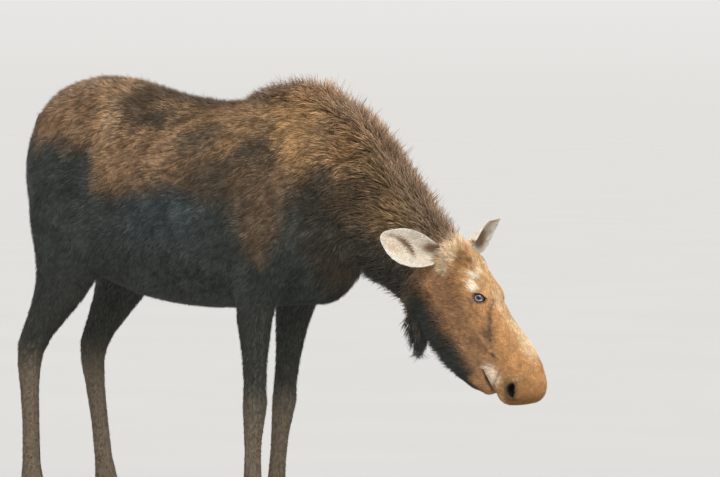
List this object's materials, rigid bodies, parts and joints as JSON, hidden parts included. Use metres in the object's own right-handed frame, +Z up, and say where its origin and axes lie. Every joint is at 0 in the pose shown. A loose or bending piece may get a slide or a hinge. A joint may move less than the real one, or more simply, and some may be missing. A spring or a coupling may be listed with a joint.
{
  "type": "moose",
  "caption": "Life-size cow moose in winter coat, standing on all four hooves with the neck and head lowered to browse.",
  "frame": {"origin": "on the floor, under the middle of the animal's bounding box", "axes": "+Z up, the animal faces -Y, her left side is at +X"},
  "size_m": [0.649, 2.2398, 1.7066],
  "materials": {
    "body_coat": "dense dark brown winter coat with tan patches on croup, ribs and shoulder",
    "mane_coat": "long coarse grey-brown mane, throat and bell hair",
    "face_coat": "short orange-brown to reddish face hair, pale round the mouth and over the eyes",
    "ear_hair": "soft cream ear hair with brown patches",
    "leg_coat": "short grey-brown lower leg hair",
    "horn": "worn black-brown hoof horn",
    "eye": "wet, nearly black brown"
  },
  "bodies": {
    "root": {"bell": "mane_coat", "ear_left": "ear_hair", "ear_right": "ear_hair", "eye_left": "eye", "eye_right": "eye", "fore_left_inner_dewclaw": "horn", "fore_left_inner_hoof": "horn", "fore_left_lower_leg": "leg_coat", "fore_left_outer_dewclaw": "horn", "fore_left_outer_hoof": "horn", "fore_left_upper_leg": "body_coat", "fore_right_inner_dewclaw": "horn", "fore_right_inner_hoof": "horn", "fore_right_lower_leg": "leg_coat", "fore_right_outer_dewclaw": "horn", "fore_right_outer_hoof": "horn", "fore_right_upper_leg": "body_coat", "head": "face_coat", "hind_left_inner_dewclaw": "horn", "hind_left_inner_hoof": "horn", "hind_left_lower_leg": "leg_coat", "hind_left_outer_dewclaw": "horn", "hind_left_outer_hoof": "horn", "hind_left_upper_leg": "body_coat", "hind_right_inner_dewclaw": "horn", "hind_right_inner_hoof": "horn", "hind_right_lower_leg": "leg_coat", "hind_right_outer_dewclaw": "horn", "hind_right_outer_hoof": "horn", "hind_right_upper_leg": "body_coat", "neck": "mane_coat", "tail": "body_coat", "trunk": "body_coat"}
  },
  "joints": []
}
